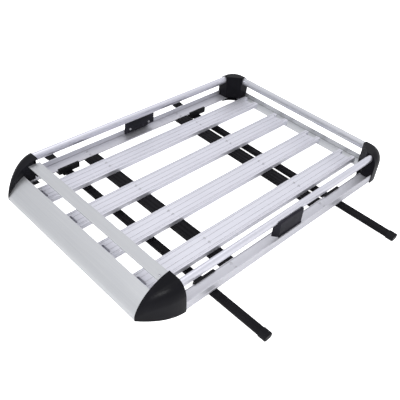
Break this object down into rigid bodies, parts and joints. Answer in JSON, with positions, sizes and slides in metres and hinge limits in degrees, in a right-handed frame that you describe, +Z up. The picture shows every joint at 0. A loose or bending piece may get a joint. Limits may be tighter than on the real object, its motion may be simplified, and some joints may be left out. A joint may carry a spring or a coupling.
{
  "type": "roof cargo basket",
  "caption": "Aluminium roof cargo basket with floor slats, low side tubes, black corner caps, a curved wind deflector and sliding black crossbars on clamps.",
  "frame": {"origin": "centre of the footprint, on the plane under the clamp straps", "axes": "+X towards the wind deflector at the front, +Y to the left, +Z up"},
  "size_m": [1.274, 1.236, 0.1545],
  "materials": {
    "slat_aluminium": "satin, lengthwise grooves",
    "rail_aluminium": "satin",
    "tube_aluminium": "satin",
    "sheet_aluminium": "satin, smooth",
    "cap_plastic": "satin moulded",
    "support_plastic": "fine grain",
    "bar_coating": "fine powder coat",
    "bar_cap_plastic": "satin moulded",
    "clamp_coating": "powder coat",
    "bolt_steel": "black zinc",
    "screw_steel": "bright"
  },
  "bodies": {
    "basket": {"floor_slat_1": "slat_aluminium", "floor_slat_2": "slat_aluminium", "floor_slat_3": "slat_aluminium", "floor_slat_4": "slat_aluminium", "left_lower_rail": "rail_aluminium", "right_lower_rail": "rail_aluminium", "front_lower_rail": "rail_aluminium", "rear_lower_rail": "rail_aluminium", "left_top_tube": "tube_aluminium", "right_top_tube": "tube_aluminium", "rear_top_tube": "tube_aluminium", "front_deflector": "sheet_aluminium", "front_top_bar": "sheet_aluminium", "left_front_cap": "cap_plastic", "right_front_cap": "cap_plastic", "left_rear_cap": "cap_plastic", "right_rear_cap": "cap_plastic", "left_centre_support": "support_plastic", "right_centre_support": "support_plastic", "left_support_cover_plate": "support_plastic", "right_support_cover_plate": "support_plastic", "front_cross_member": "bar_coating", "rear_cross_member": "bar_coating", "rail_cross_bolts": "bolt_steel", "rail_bolt_nuts": "bolt_steel", "slat_bolt_nuts": "bolt_steel", "slat_end_screws": "screw_steel", "slat_cross_bolts": "screw_steel", "top_bar_screws": "screw_steel", "deflector_screws": "screw_steel", "cap_screws": "screw_steel", "support_plate_screws": "screw_steel", "support_foot_screws": "screw_steel", "tube_screws": "screw_steel"},
    "front_carriage": {"front_left_clamp_block": "clamp_coating", "front_left_clamp_strap": "clamp_coating", "front_right_clamp_block": "clamp_coating", "front_right_clamp_strap": "clamp_coating", "front_clamp_bolts": "bolt_steel"},
    "front_bar": {"front_crossbar": "bar_coating", "front_left_crossbar_cap": "bar_cap_plastic", "front_right_crossbar_cap": "bar_cap_plastic"},
    "rear_carriage": {"rear_left_clamp_block": "clamp_coating", "rear_left_clamp_strap": "clamp_coating", "rear_right_clamp_block": "clamp_coating", "rear_right_clamp_strap": "clamp_coating", "rear_clamp_bolts": "bolt_steel"},
    "rear_bar": {"rear_crossbar": "bar_coating", "rear_left_crossbar_cap": "bar_cap_plastic", "rear_right_crossbar_cap": "bar_cap_plastic"}
  },
  "joints": [
    {"name": "front_carriage_slide", "type": "slide", "parent": "basket", "child": "front_carriage", "axis": [1, 0, 0], "range_m": [-0.035, 0.06]},
    {"name": "front_bar_slide", "type": "slide", "parent": "front_carriage", "child": "front_bar", "axis": [0, 1, 0], "range_m": [-0.19, 0.07]},
    {"name": "rear_carriage_slide", "type": "slide", "parent": "basket", "child": "rear_carriage", "axis": [1, 0, 0], "range_m": [-0.115, 0.015]},
    {"name": "rear_bar_slide", "type": "slide", "parent": "rear_carriage", "child": "rear_bar", "axis": [0, 1, 0], "range_m": [-0.19, 0.06]}
  ]
}
